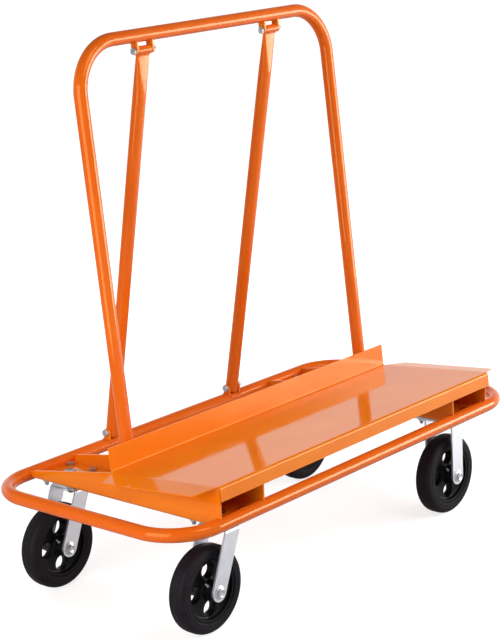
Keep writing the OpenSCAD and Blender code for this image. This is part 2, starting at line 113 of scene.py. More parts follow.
def powderCoat(name, thick, thin):
    coat, tree, place = newFinish(name)
    film = addNode(tree, "ShaderNodeTexNoise", {"Vector": place, **powder["film"]})
    colour = addNode(tree, "ShaderNodeMix", {0: film.outputs["Fac"], 6: linear(thin), 7: linear(thick)},
                     data_type="RGBA")
    scuffs = addNode(tree, "ShaderNodeTexNoise", {"Vector": place, **powder["scuffs"]})
    gloss = addNode(tree, "ShaderNodeMapRange", {"Value": scuffs.outputs["Fac"], **powder["gloss"]})
    wave = addNode(tree, "ShaderNodeTexNoise", {"Vector": place, **powder["wave"]})
    waved = addNode(tree, "ShaderNodeBump", {"Height": wave.outputs["Fac"], **powder["waveBump"]})
    peel = addNode(tree, "ShaderNodeTexNoise", {"Vector": place, **powder["peel"]})
    peeled = addNode(tree, "ShaderNodeBump", {
        "Height": peel.outputs["Fac"], "Normal": waved.outputs[0], **powder["peelBump"]})
    skin = addNode(tree, "ShaderNodeBsdfPrincipled", {
        "Base Color": colour.outputs[2], "Roughness": gloss.outputs[0], "Normal": peeled.outputs[0],
        **powder["skin"]})
    addNode(tree, "ShaderNodeOutputMaterial", {"Surface": skin.outputs[0]})
    return coat


# Sheet and tubes wear one powder coat. The tube copy is painted redder and a little darker: painted shade for
# the tubes' rounded sides.
sheetCoat = powderCoat("orangePowderCoatOnSheet", "#F68812", "#F0720E")
tubeCoatPaintedShade = powderCoat("orangePowderCoatPaintedShadeOnTube", "#F07018", "#E25C10")


# The other finishes drift between two colours in patches. Their gloss follows the patches, or the rolling
# lines where there are some, and most have a grain. Grains and lines are drawn coarse enough to show.
def patchyFinish(name, colours, look):
    finish, tree, place = newFinish(name)
    first, second = colours
    patches = addNode(tree, "ShaderNodeTexNoise", {"Vector": place, **look["patches"]}).outputs["Fac"]
    colour = addNode(tree, "ShaderNodeMix", {0: patches, 6: linear(first), 7: linear(second)},
                     data_type="RGBA")
    skin = {"Base Color": colour.outputs[2], **look["skin"]}
    glossBy = patches
    if "lines" in look:
        stretched = addNode(tree, "ShaderNodeMapping", {"Vector": place, **look["stretch"]})
        lines = addNode(tree, "ShaderNodeTexNoise", {"Vector": stretched.outputs[0], **look["lines"]})
        glossBy = lines.outputs["Fac"]
    if "gloss" in look:
        gloss = addNode(tree, "ShaderNodeMapRange", {"Value": glossBy, **look["gloss"]})
        skin["Roughness"] = gloss.outputs[0]
    if "grain" in look:
        grain = addNode(tree, "ShaderNodeTexNoise", {"Vector": place, **look["grain"]})
        bumped = addNode(tree, "ShaderNodeBump", {"Height": grain.outputs["Fac"], **look["bump"]})
        skin["Normal"] = bumped.outputs[0]
    coated = addNode(tree, "ShaderNodeBsdfPrincipled", skin)
    addNode(tree, "ShaderNodeOutputMaterial", {"Surface": coated.outputs[0]})
    return finish


# Bright zinc plate on pressed steel: pale, soft metal with a blue and straw tint that drifts,
# and the faint rolling lines of the strip underneath.
zincPlate = patchyFinish("brightZincPlate", ("#C8CACF", "#DEE0E6"), {
    "patches": {"Scale": perSize(38), "Detail": 3.0},
    "stretch": {"Scale": (perSize(0.9), perSize(0.9), perSize(60))},
    "lines": {"Scale": 1.0, "Detail": 2.0},
    "gloss": {"From Min": 0.3, "From Max": 0.7, "To Min": 0.3, "To Max": 0.46},
    "grain": {"Scale": perSize(2.4), "Detail": 2.0},
    "bump": {"Strength": 0.1, "Distance": 0.0001},
    "skin": {"Metallic": 1.0}})

# Zinc on rolled fasteners: the same plating over forged steel, greyer, with darker flats and hollows.
zincFastener = patchyFinish("zincOnForgedSteel", ("#A2A4A8", "#DCDEE2"), {
    "patches": {"Scale": perSize(6), "Detail": 3.0},
    "gloss": {"From Min": 0.3, "From Max": 0.7, "To Min": 0.42, "To Max": 0.26},
    "grain": {"Scale": perSize(1.1), "Detail": 1.0},
    "bump": {"Strength": 0.12, "Distance": 0.0001},
    "skin": {"Metallic": 1.0}})

# Bearing steel, ground and polished, with a film of grease that dulls it in patches.
polishedSteel = patchyFinish("polishedBearingSteel", ("#D6D7DA", "#A79F88"), {
    "patches": {"Scale": perSize(7), "Detail": 2.0},
    "gloss": {"To Min": 0.08, "To Max": 0.3},
    "skin": {"Metallic": 1.0}})

# Sintered bronze: pressed powder soaked in oil, brown-gold and finely porous.
sinteredBronze = patchyFinish("sinteredBronze", ("#B08A4A", "#5A4020"), {
    "patches": {"Scale": perSize(0.8), "Detail": 2.0},
    "skin": {"Metallic": 1.0, "Roughness": 0.4}})

# Black enamel brushed over a sand casting: half gloss, with the sand's pitting under the paint.
blackEnamel = patchyFinish("blackEnamelOnCastIron", ("#080709", "#131114"), {
    "patches": {"Scale": perSize(22), "Detail": 4.0},
    "gloss": {"To Min": 0.28, "To Max": 0.5},
    "grain": {"Scale": perSize(2.2), "Detail": 3.0},
    "bump": {"Strength": 0.35, "Distance": 0.0004},
    "skin": {"IOR": 1.5, "Specular IOR Level": 0.12}})

# Moulded black rubber: dull, with a grey bloom that drifts over it and the mould's fine grain.
mouldedRubber = patchyFinish("mouldedBlackRubber", ("#19161A", "#29252A"), {
    "patches": {"Scale": perSize(34), "Detail": 4.0},
    "gloss": {"To Min": 0.38, "To Max": 0.62},
    "grain": {"Scale": perSize(1.3), "Detail": 2.0},
    "bump": {"Strength": 0.2, "Distance": 0.0002},
    "skin": {"IOR": 1.52, "Specular IOR Level": 0.06}})
print("materials made")


# Mesh helpers

ringSides = 48  # of a drawn ring, unless a piece asks for another count
softening = {"sharpFrom": math.radians(35), "roundFrom": math.radians(40), "roundSteps": 2,
             "mergeWithin": 0.002, "flatWithin": math.radians(0.5)}


def asMesh(shape):
    bmesh.ops.recalc_face_normals(shape, faces=shape.faces)
    mesh = bpy.data.meshes.new("draft")
    shape.to_mesh(mesh)
    shape.free()
    mesh.shade_smooth()
    mesh.set_sharp_from_angle(angle=softening["sharpFrom"])
    return mesh


def turnsOf(count):  # equal turns all the way round
    return [2 * math.pi * i / count for i in range(count)]


def roundRing(radius, z, sides=ringSides):
    return [(radius * math.cos(t), radius * math.sin(t), z) for t in turnsOf(sides)]


def hexReach(flat, turn):  # how far out a hexagon is at a turn, from its distance to the flats
    corner = (turn + math.pi / 6) % (math.pi / 3) - math.pi / 6
    return flat / math.cos(corner)


def ringStack(rings, wrap=False):  # skins rings of equal count, and caps both ends unless they wrap
    shape = bmesh.new()
    rows = [[shape.verts.new(p) for p in ring] for ring in rings]
    count = len(rows[0])
    pairs = list(zip(rows, rows[1:])) + ([(rows[-1], rows[0])] if wrap else [])
    for low, high in pairs:
        for i in range(count):
            n = (i + 1) % count
            shape.faces.new((low[i], low[n], high[n], high[i]))
    if not wrap:
        shape.faces.new(rows[0])
        shape.faces.new(rows[-1])
    return asMesh(shape)


def lathe(outline, sides=96):  # turns a closed outline of (radius, height) about Z
    return ringStack([roundRing(radius, height, sides) for radius, height in outline], wrap=True)


def roundedOutline(corners, steps=5):  # closed outline of (x, y, radius) corners
    outline = []
    for i, (x, y, radius) in enumerate(corners):
        here = Vector((x, y))
        back = (Vector(corners[i - 1][:2]) - here).normalized()
        ahead = (Vector(corners[(i + 1) % len(corners)][:2]) - here).normalized()
        half = back.angle(ahead) / 2
        centre = here + (back + ahead).normalized() * radius / math.sin(half)
        first = here + back * radius / math.tan(half) - centre
        last = here + ahead * radius / math.tan(half) - centre
        for s in range(steps + 1):
            outline.append(centre + first.lerp(last, s / steps).normalized() * radius)
    return outline


def moved(mesh, matrix):
    copy = mesh.copy()
    copy.transform(matrix)
    return copy


def joined(*parts):  # one mesh from (mesh, matrix) pairs
    whole = bmesh.new()
    for mesh, matrix in parts:
        copy = moved(mesh, matrix)
        whole.from_mesh(copy)
        bpy.data.meshes.remove(copy)
    mesh = bpy.data.meshes.new("joined")
    whole.to_mesh(mesh)
    whole.free()
    return mesh


def plainMesh(host):  # the host's mesh with its modifiers worked in
    made = bpy.data.meshes.new_from_object(host.evaluated_get(bpy.context.evaluated_depsgraph_get()))
    host.modifiers.clear()
    bpy.data.objects.remove(host)
    return made


def withModifiers(mesh, *steps):
    host = addObject("host", mesh)
    for kind, settings in steps:
        modifier = host.modifiers.new(kind, kind)
        for key, value in settings.items():
            setattr(modifier, key, value)
    return plainMesh(host)


def drilled(mesh, drill, sharpFrom):
    tool = addObject("drill", drill)
    cut = withModifiers(mesh, ("BOOLEAN", {"operation": "DIFFERENCE", "object": tool, "solver": "EXACT"}))
    bpy.data.objects.remove(tool)
    cut.set_sharp_from_angle(angle=sharpFrom)
    return cut


def softEdges(width):  # small round edges, with flat faces kept flat to the eye
    return (("BEVEL", {"width": width, "segments": softening["roundSteps"], "limit_method": "ANGLE",
                       "angle_limit": softening["roundFrom"]}),
            ("WEIGHTED_NORMAL", {"keep_sharp": True}))


def softCopy(node, width):  # a CAD node's own shape with its edges rounded
    source = cadNodes[node].data
    mesh = bpy.data.meshes.new("copy")
    mesh.from_pydata([v.co * perMetre for v in source.vertices], [], [p.vertices[:] for p in source.polygons])
    shape = bmesh.new()
    shape.from_mesh(mesh)
    bmesh.ops.remove_doubles(shape, verts=shape.verts, dist=softening["mergeWithin"])
    bmesh.ops.dissolve_limit(shape, angle_limit=softening["flatWithin"], verts=shape.verts, edges=shape.edges)
    shape.to_mesh(mesh)
    shape.free()
    mesh.shade_smooth()
    return withModifiers(mesh, *softEdges(width))


def makePiece(name, mesh, finish, body, slot, *nodes):
    mesh.name = name
    mesh.transform(Matrix.Scale(1 / perMetre, 4))
    mesh.materials.clear()
    mesh.materials.append(finish)
    piece = addObject(name, mesh)
    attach(piece, body)
    if nodes:
        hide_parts(*nodes)


# Node trees: each takes a path or points and gives a coated piece

def newTree(name, inputs):
    tree = bpy.data.node_groups.new(name, "GeometryNodeTree")
    tree.interface.new_socket("Path", in_out="INPUT", socket_type="NodeSocketGeometry")
    for label, kind in inputs.items():
        tree.interface.new_socket(label, in_out="INPUT", socket_type="NodeSocket" + kind)
    tree.interface.new_socket("Piece", in_out="OUTPUT", socket_type="NodeSocketGeometry")
    return tree, addNode(tree, "NodeGroupInput").outputs


def closeTree(tree, made, coat, smooth=True):
    if smooth:
        made = addNode(tree, "GeometryNodeSetShadeSmooth", {"Geometry": made}).outputs[0]
    real = addNode(tree, "GeometryNodeRealizeInstances", {"Geometry": made})
    coated = addNode(tree, "GeometryNodeSetMaterial", {"Geometry": real.outputs[0], "Material": coat})
    addNode(tree, "NodeGroupOutput", {"Piece": coated.outputs[0]})


def growTree(tree, base, values):
    host = addObject("host", base)
    modifier = host.modifiers.new(tree.name, "NODES")
    modifier.node_group = tree
    for socket in tree.interface.items_tree:
        if socket.name in values:
            modifier[socket.identifier] = values[socket.name]
    return plainMesh(host)


# A bent tube: a path with rounded corners, swept by a round section
tubeTree, given = newTree("bentTube", {"Bend": "Float", "Steps": "Int", "Radius": "Float", "Sides": "Int",
                                       "Coat": "Material"})
path = addNode(tubeTree, "GeometryNodeMeshToCurve", {"Mesh": given["Path"]})
bent = addNode(tubeTree, "GeometryNodeFilletCurve", {
    "Curve": path.outputs[0], "Radius": given["Bend"], "Count": given["Steps"]}, mode="POLY")
section = addNode(tubeTree, "GeometryNodeCurvePrimitiveCircle", {
    "Resolution": given["Sides"], "Radius": given["Radius"]})
swept = addNode(tubeTree, "GeometryNodeCurveToMesh", {
    "Curve": bent.outputs[0], "Profile Curve": section.outputs[0], "Fill Caps": True})
closeTree(tubeTree, swept.outputs[0], given["Coat"])

# A weld bead: overlapping ripples along a path, each a little different
weldTree, given = newTree("weldBead", {"Pitch": "Float", "Size": "Float", "Smallest": "Float",
                                       "Largest": "Float", "Seed": "Int", "Coat": "Material"})
path = addNode(weldTree, "GeometryNodeMeshToCurve", {"Mesh": given["Path"]})
stops = addNode(weldTree, "GeometryNodeResampleCurve", {
    "Curve": path.outputs[0], "Length": given["Pitch"]}, mode="LENGTH")
ripple = addNode(weldTree, "GeometryNodeMeshUVSphere", {"Segments": 8, "Rings": 5, "Radius": 1.0})
along = addNode(weldTree, "GeometryNodeInputTangent")
turn = addNode(weldTree, "FunctionNodeAlignRotationToVector", {"Vector": along.outputs[0]}, axis="X")
uneven = addNode(weldTree, "FunctionNodeRandomValue", {
    2: given["Smallest"], 3: given["Largest"], "Seed": given["Seed"]}, data_type="FLOAT")
size = addNode(weldTree, "ShaderNodeMath", {0: uneven.outputs[1], 1: given["Size"]}, operation="MULTIPLY")
swell = addNode(weldTree, "ShaderNodeCombineXYZ", {
    "X": given["Pitch"], "Y": size.outputs[0], "Z": size.outputs[0]})
rippled = addNode(weldTree, "GeometryNodeInstanceOnPoints", {
    "Points": stops.outputs[0], "Instance": ripple.outputs[0], "Rotation": turn.outputs[0],
    "Scale": swell.outputs[0]})
closeTree(weldTree, rippled.outputs[0], given["Coat"])

# A set of fasteners: one drawn fastener put at every point, turned as the point says
fastenerTree, given = newTree("fastenerSet", {"Fastener": "Object", "Coat": "Material"})
turn = addNode(fastenerTree, "GeometryNodeInputNamedAttribute", {"Name": "turn"}, data_type="FLOAT_VECTOR")
turned = addNode(fastenerTree, "FunctionNodeEulerToRotation", {"Euler": turn.outputs[0]})
drawn = addNode(fastenerTree, "GeometryNodeObjectInfo", {"Object": given["Fastener"]})
placed = addNode(fastenerTree, "GeometryNodeInstanceOnPoints", {
    "Points": given["Path"], "Instance": drawn.outputs["Geometry"], "Rotation": turned.outputs[0]})
closeTree(fastenerTree, placed.outputs[0], given["Coat"], smooth=False)

# A circle of bearing balls
ballTree, given = newTree("ballCircle", {"Count": "Int", "Circle": "Float", "Ball": "Float",
                                         "Coat": "Material"})
circle = addNode(ballTree, "GeometryNodeMeshCircle", {"Vertices": given["Count"], "Radius": given["Circle"]})
ball = addNode(ballTree, "GeometryNodeMeshIcoSphere", {"Radius": given["Ball"], "Subdivisions": 3})
raced = addNode(ballTree, "GeometryNodeInstanceOnPoints", {
    "Points": circle.outputs[0], "Instance": ball.outputs[0]})
closeTree(ballTree, raced.outputs[0], given["Coat"])
print("node trees made")


def pathMesh(lines, closed=False):
    points, edges = [], []
    for line in lines:
        start = len(points)
        points += line
        edges += [(start + i, start + i + 1) for i in range(len(line) - 1)]
        if closed:
            edges.append((len(points) - 1, start))
    mesh = bpy.data.meshes.new("path")
    mesh.from_pydata(points, edges, [])
    return mesh


# Fasteners: hex bolts and nuts with turned chamfers, and threads where a bolt's end shows.
# Ratios are of the bolt's diameter. Sticks, gap, edgeIn and frameBolt are in millimetres, and most of the
# rest are shares of a width, a height or the pitch.
fastener = {"headRatio": 0.65, "nutRatio": 0.8, "stick": 3, "plateStick": 7, "cap": 0.95, "slope": 0.58}
boltHead = {"dishWide": 0.86, "dishDeep": 0.05, "rim": 0.93, "hexEnd": 0.12, "footFrom": 0.08}
flangeFoot = {"hexEnd": 0.34, "rootWide": 0.6, "rootUp": 0.3, "edgeIn": 0.8, "edgeUp": 0.18, "rimUp": 0.1}
thread = {"pitchRatio": 0.15, "rows": 4, "deep": 0.5, "pointRatio": 0.08, "pointIn": 0.75}
nut = {"gap": 0.05, "entry": 1.08, "entryUp": 0.06, "hexFrom": 0.1, "shoulder": 0.72,
       "collar": ((0.94, 0.72), (0.92, 0.9), (0.84, 1)), "exit": 1.1, "exitUp": 0.94}
frameBolt = {"d": 10, "flats": 16, "ear": 5, "play": 1}


def hexRing(flats, z, cap=None, slope=0):  # hexagon cut back to a cap circle, dropping by slope outside it
    points = []
    for turn in turnsOf(ringSides):
        radius = hexReach(flats / 2, turn)
        drop = max(0, radius - flats / 2 * fastener["cap"]) * slope
        radius = min(radius, cap or radius)
        points.append((radius * math.cos(turn), radius * math.sin(turn), z - drop))
    return points


def threadRings(d, start, end):  # a groove that climbs one pitch in each turn, and the blunt point
    pitch = d * thread["pitchRatio"]
    rows = int((end - d * thread["pointRatio"] - start) / pitch * thread["rows"])
    rings = []
    for row in range(rows + 1):
        z = start + row * pitch / thread["rows"]
        points = []
        for turn in turnsOf(ringSides):
            phase = (z / pitch - turn / (2 * math.pi)) % 1
            radius = d / 2 - pitch * thread["deep"] * (1 - abs(2 * phase - 1))
            points.append((radius * math.cos(turn), radius * math.sin(turn), z))
        rings.append(points)
    return rings + [roundRing(d / 2 - pitch * thread["pointIn"], end)]


def drawBolt(kind, length, stick=fastener["stick"]):  # along +Z from the face under its head
    d, flats, flange = kind["d"], kind["flats"], kind.get("flange")
    high = d * fastener["headRatio"]
    cap = flats / 2 * fastener["cap"]
    rings = [roundRing(cap * boltHead["dishWide"], -high + boltHead["dishDeep"] * high),
             roundRing(cap * boltHead["rim"], -high), hexRing(flats, -high, cap),
             hexRing(flats, -high, None, -fastener["slope"])]
    if flange:
        rings += [hexRing(flats, -flangeFoot["hexEnd"] * high),
                  roundRing(flats * flangeFoot["rootWide"], -flangeFoot["rootUp"] * high),
                  roundRing(flange - flangeFoot["edgeIn"], -flangeFoot["edgeUp"] * high),
                  roundRing(flange, -flangeFoot["rimUp"] * high), roundRing(flange, 0)]
    else:
        rings += [hexRing(flats, -boltHead["hexEnd"] * high),
                  hexRing(flats, -boltHead["footFrom"] * high, cap), roundRing(cap, 0)]
    rings.append(roundRing(d / 2, 0))
    rings += threadRings(d, length - d * fastener["nutRatio"] - stick, length)
    return ringStack(rings)


def drawNut(kind):  # along +Z, with a locking collar at its outer end
    d, flats = kind["d"], kind["flats"]
    high = d * fastener["nutRatio"]
    cap = flats / 2 * fastener["cap"]
    bore = d / 2 + nut["gap"]
    shoulder = high * nut["shoulder"]
    rings = [roundRing(bore, nut["entryUp"] * high), roundRing(bore * nut["entry"], 0), roundRing(cap, 0),
             hexRing(flats, nut["entryUp"] * high, cap), hexRing(flats, nut["hexFrom"] * high),
             hexRing(flats, shoulder, None, fastener["slope"]), hexRing(flats, shoulder, cap)]
    rings += [roundRing(cap * wide, high * up) for wide, up in nut["collar"]]
    rings += [roundRing(bore * nut["exit"], high), roundRing(bore, high * nut["exitUp"])]
    return ringStack(rings, wrap=True)


def placeFasteners(name, drawn, places, body, node):
    source = addObject("drawnFastener", drawn)
    points = bpy.data.meshes.new("places")
    points.from_pydata([spot for spot, turn in places], [], [])
    turns = points.attributes.new("turn", "FLOAT_VECTOR", "POINT")
    for i, (spot, turn) in enumerate(places):
        turns.data[i].vector = turn.to_euler()
    mesh = growTree(fastenerTree, points, {"Fastener": source, "Coat": zincFastener})
    bpy.data.objects.remove(source)
    makePiece(name, mesh, zincFastener, body, "zinc_fasteners", node)


# Measures read from the frame
ringLow, ringHigh = nodeBox("perimeter_ring")
tubeR = (ringHigh.z - ringLow.z) / 2
ringX, ringY, ringZ = ringHigh.x - tubeR, ringHigh.y - tubeR, ringHigh.z - tubeR
hoopHigh = nodeBox("hoop")[1]
legX = hoopHigh.x - tubeR
plateUnder, baseZ = [corner.z for corner in nodeBox("left_front_plate")]
webTop = nodeBox("caster_bolts")[1].z - frameBolt["d"] * fastener["headRatio"]

# Deck: one sheet folded from lip to stop, with a drooping tab at each end
deck = {"length": 1016, "depth": 331, "thick": 3, "bend": 6, "bendSteps": 6, "lip": 34, "lipInset": 1.5,
        "stop": 55, "tab": 59, "tabInset": 2, "tabBend": 5, "tabSteps": 4, "mitre": 22,
        "droop": math.radians(6), "tilt": math.radians(5), "rise": 70, "edge": 0.7}
cosTilt, sinTilt = math.cos(deck["tilt"]), math.sin(deck["tilt"])
creaseY = ringLow.y + deck["lipInset"] + deck["depth"] * cosTilt + deck["lip"] * sinTilt
tilted = Matrix.Translation((0, creaseY, baseZ + deck["rise"])) @ Matrix.Rotation(-deck["tilt"], 4, "X")


def foldPoints(y, z, radius, start, sweep):
    turns = [start + sweep * i / deck["bendSteps"] for i in range(deck["bendSteps"] + 1)]
    return [(y + radius * math.cos(t), z + radius * math.sin(t)) for t in turns]


def drawDeck():
    quarter = math.pi / 2
    outer, inner = deck["bend"], deck["bend"] - deck["thick"]
    half = deck["length"] / 2
    tabFront = outer + deck["tabInset"] - deck["depth"]
    tabRear = -inner - deck["tabInset"]
    section = [(-deck["depth"], -deck["lip"])]
    section += foldPoints(outer - deck["depth"], -outer, outer, math.pi, -quarter)
    frontRow = len(section)
    section += [(tabFront, 0), (tabRear, 0)]
    section += foldPoints(-inner, inner, inner, -quarter, quarter)
    section.append((0, deck["stop"]))
    shape = bmesh.new()
    rows = [[shape.verts.new((side * half, y, z)) for side in (-1, 1)] for y, z in section]
    for low, high in zip(rows, rows[1:]):
        shape.faces.new((low[0], low[1], high[1], high[0]))
    tabSteps = deck["tabSteps"]
    lengths = [deck["tabBend"] / tabSteps] * tabSteps + [deck["tab"] - deck["tabBend"]]
    for side in (0, 1):
        outward = 2 * side - 1
        front, rear = rows[frontRow][side], rows[frontRow + 1][side]
        out, drop, reached = 0, 0, 0
        for k, length in enumerate(lengths):
            slope = min(1, (k + 0.5) / tabSteps) * deck["droop"]
            out += length * math.cos(slope)
            drop -= length * math.sin(slope)
            reached += length
            cut = deck["mitre"] * reached / deck["tab"]
            nextFront = shape.verts.new((outward * (half + out), tabFront + cut, drop))
            nextRear = shape.verts.new((outward * (half + out), tabRear - cut, drop))
            loop = (front, nextFront, nextRear, rear)
            shape.faces.new(loop if outward > 0 else loop[::-1])
            front, rear = nextFront, nextRear
    mesh = bpy.data.meshes.new("deckSheet")
    shape.to_mesh(mesh)
    shape.free()
    mesh.shade_smooth()
    wall = ("SOLIDIFY", {"thickness": deck["thick"], "offset": -1, "use_even_offset": True})
    return moved(withModifiers(mesh, wall, *softEdges(deck["edge"])), tilted)


makePiece("deckSheet", drawDeck(), sheetCoat, "chassis", "orange_paint", "deck")
print("deck folded")

# Ring and hoop: bent from the same tube
ring = {"bend": 115, "steps": 24, "sides": 56}
hoop = {"bend": 115, "steps": 28, "sides": 56, "legGap": 0.15, "vent": 6, "ventSides": 24,
        "sharpFrom": math.radians(50)}


# The ring and hoop take the tube coat, with its painted shade, as do the braces.
def bendTube(line, sizes, closed=False):
    return growTree(tubeTree, pathMesh([line], closed), {
        "Bend": sizes["bend"], "Steps": sizes["steps"], "Radius": tubeR, "Sides": sizes["sides"],
        "Coat": tubeCoatPaintedShade})


ringCorners = [(-ringX, -ringY, ringZ), (ringX, -ringY, ringZ), (ringX, ringY, ringZ), (-ringX, ringY, ringZ)]
makePiece("perimeterTube", bendTube(ringCorners, ring, closed=True), tubeCoatPaintedShade, "chassis", "orange_paint",
          "perimeter_ring")

legY = deck["thick"] + hoop["legGap"] + tubeR
railUp = (hoopHigh.z - tubeR - baseZ - deck["rise"] + legY * sinTilt) / cosTilt
footDrop = (deck["rise"] + baseZ - webTop - legY * sinTilt) / cosTilt
hoopLine = [tilted @ Vector((x, legY, z)) for x, z in
            [(-legX, -footDrop), (-legX, railUp), (legX, railUp), (legX, -footDrop)]]
ventDrill = ringStack([roundRing(hoop["vent"] / 2, z, hoop["ventSides"]) for z in (-2 * tubeR, 2 * tubeR)])
ventDrill.transform(tilted @ Matrix.Translation((0, legY, railUp)))
makePiece("hoopTube", drilled(bendTube(hoopLine, hoop), ventDrill, hoop["sharpFrom"]), tubeCoatPaintedShade, "chassis",
          "orange_paint", "hoop")
print("ring and hoop bent")

# Braces: tube pressed into a flat fan under a cross eye
brace = {"wall": 2, "bore": 120, "tail": 10, "chamfer": 0.5, "flatWide": 41, "flatThick": 8, "flatLong": 110,
         "pressSteps": 14, "eye": 20, "eyeLong": 44, "eyeBore": 10.5, "eyeEdge": 1.2, "boreEdge": 0.6}
topPin = nodeMiddle("brace_top_bolts")
footPin = nodeMiddle("brace_foot_bolts")
braceLong = math.hypot(footPin.y - topPin.y, topPin.z - footPin.z)
braceLean = math.atan2(footPin.y - topPin.y, topPin.z - footPin.z)


def flatRing(wide, thick, z):  # two half circles joined by straight sides
    points = []
    for i in range(ringSides):
        turn = 2 * math.pi * (i + 0.5) / ringSides
        shift = math.copysign((wide - thick) / 2, math.cos(turn))
        points.append((shift + thick / 2 * math.cos(turn), thick / 2 * math.sin(turn), z))
    return points


def drawBrace():
    outer, bore = 2 * tubeR, 2 * (tubeR - brace["wall"])
    start = braceLong - brace["flatLong"]
    end = braceLong - brace["eye"] / 2
    chamfer, tail = brace["chamfer"], -brace["tail"]
    rings = [flatRing(bore, bore, brace["bore"]), flatRing(bore, bore, chamfer + tail),
             flatRing(bore + 2 * chamfer, bore + 2 * chamfer, tail),
             flatRing(outer - 2 * chamfer, outer - 2 * chamfer, tail),
             flatRing(outer, outer, chamfer + tail)]
    for i in range(brace["pressSteps"] + 1):
        share = i / brace["pressSteps"]
        rings.append(flatRing(outer + (brace["flatWide"] - outer) * share,
                              outer + (brace["flatThick"] - outer) * share, start + (end - start) * share))
    insideEye = braceLong - brace["eye"] / 4
    rings.append(flatRing(brace["flatWide"], brace["flatThick"], insideEye))
    eyeHalf, eyeR, boreR = brace["eyeLong"] / 2, brace["eye"] / 2, brace["eyeBore"] / 2
    eye = lathe(roundedOutline([(boreR, -eyeHalf, brace["boreEdge"]), (eyeR, -eyeHalf, brace["eyeEdge"]),
                                (eyeR, eyeHalf, brace["eyeEdge"]), (boreR, eyeHalf, brace["boreEdge"])]),
                ringSides)
    across = Matrix.Translation((0, 0, braceLong)) @ Matrix.Rotation(math.pi / 2, 4, "Y")
    return joined((ringStack(rings), Matrix()), (eye, across))


braceMesh = drawBrace()
leaned = Matrix.Translation((0, footPin.y, footPin.z)) @ Matrix.Rotation(braceLean, 4, "X")
for side in ("left", "right"):
    sideways = Matrix.Translation((nodeMiddle(side + "_brace").x, 0, 0))
    makePiece(side + "BraceTube", moved(braceMesh, sideways @ leaned), tubeCoatPaintedShade, "chassis", "orange_paint",
              side + "_brace")
print("braces pressed")

# Folded and cut steel keeps the CAD shape, with its edges broken
sheetEdges = {"left_channel": 0.8, "right_channel": 0.8, "hoop_foot_ears": 0.6, "brace_top_ears": 0.6,
              "brace_foot_ears": 0.6}
for node, width in sheetEdges.items():
    makePiece(camelName(node), softCopy(node, width), sheetCoat, "chassis", "orange_paint", node)
print("channels and ears cut")

# Bolts and nuts of the frame
downward = Matrix.Rotation(math.pi, 3, "X")
inward = Matrix.Rotation(-math.pi / 2, 3, "X")
alongX = Matrix.Rotation(math.pi / 2, 3, "Y")
tiltedX = Matrix.Rotation(-deck["tilt"], 3, "X") @ alongX
braceX = nodeMiddle("right_brace").x
earClear = {"hoop_foot": 2 * tubeR + 2 * hoop["legGap"], "brace_top": brace["eyeLong"] + frameBolt["play"],
            "brace_foot": 2 * tubeR + frameBolt["play"]}
for node, pin, spread, turn in [("hoop_foot", nodeMiddle("hoop_foot_bolts"), legX, tiltedX),
                                ("brace_top", topPin, braceX, tiltedX),
                                ("brace_foot", footPin, braceX, alongX)]:
    grip = earClear[node] + 2 * frameBolt["ear"]
    reach = grip + frameBolt["d"] * fastener["nutRatio"] + fastener["stick"]
    heads, ends = [[(Vector((side * spread + hand * grip / 2, pin.y, pin.z)), turn) for side in (-1, 1)]
                   for hand in (-1, 1)]
    placeFasteners(camelName(node) + "Bolts", drawBolt(frameBolt, reach), heads, "chassis", node + "_bolts")
    placeFasteners(camelName(node) + "Nuts", drawNut(frameBolt), ends, "chassis", node + "_nuts")

swivels = ["left_front", "left_rear"]
rigids = ["right_front", "right_rear"]
plate = {"patternX": 80, "patternY": 76, "long": 108, "wide": 102, "corner": 9, "cornerSteps": 6, "edge": 0.8}
headSpots = {name: nodeMiddle(name + "_plate") for name in swivels}
headSpots.update({name: nodeMiddle(name + "_bracket") for name in rigids})
boltSpots = [(spot.x + x * plate["patternX"] / 2, spot.y + y * plate["patternY"] / 2)
             for spot in headSpots.values() for x in (-1, 1) for y in (-1, 1)]
plateReach = webTop - plateUnder + frameBolt["d"] * fastener["nutRatio"] + fastener["plateStick"]
heads, ends = [[(Vector((x, y, z)), downward) for x, y in boltSpots] for z in (webTop, plateUnder)]
placeFasteners("casterBolts", drawBolt(frameBolt, plateReach, fastener["plateStick"]), heads, "chassis",
               "caster_bolts")
placeFasteners("casterNuts", drawNut(frameBolt), ends, "chassis", "caster_nuts")
print("frame fasteners placed")

# Weld beads, laid before the paint and coated with it
weld = {"pitch": 2.2, "size": 2.3, "smallest": 0.85, "largest": 1.1, "seed": 7, "arcSteps": 14,
        "earShare": 0.94, "channelInset": 14, "deckStitch": 36, "deckStitches": (-285, -165, -45),
        "legStitch": (8, 48), "legOut": 1, "eyeShare": 0.45}


def layBeads(lines, finish, size):
    return growTree(weldTree, pathMesh(lines), {
        "Pitch": weld["pitch"], "Size": size, "Smallest": weld["smallest"], "Largest": weld["largest"],
        "Seed": weld["seed"], "Coat": finish})


def earFaces(spread, clear, *depths):  # where the faces of two pairs of ears stand along X
    return [side * spread + hand * (clear / 2 + depth)
            for side in (-1, 1) for hand in (-1, 1) for depth in depths]


def arcPoints(x, centreY, centreZ, low, high, upward):  # round a tube along X, from angle low to high
    turns = [low + (high - low) * i / weld["arcSteps"] for i in range(weld["arcSteps"] + 1)]
    return [Vector((x, centreY + tubeR * math.sin(t), centreZ + upward * tubeR * math.cos(t))) for t in turns]


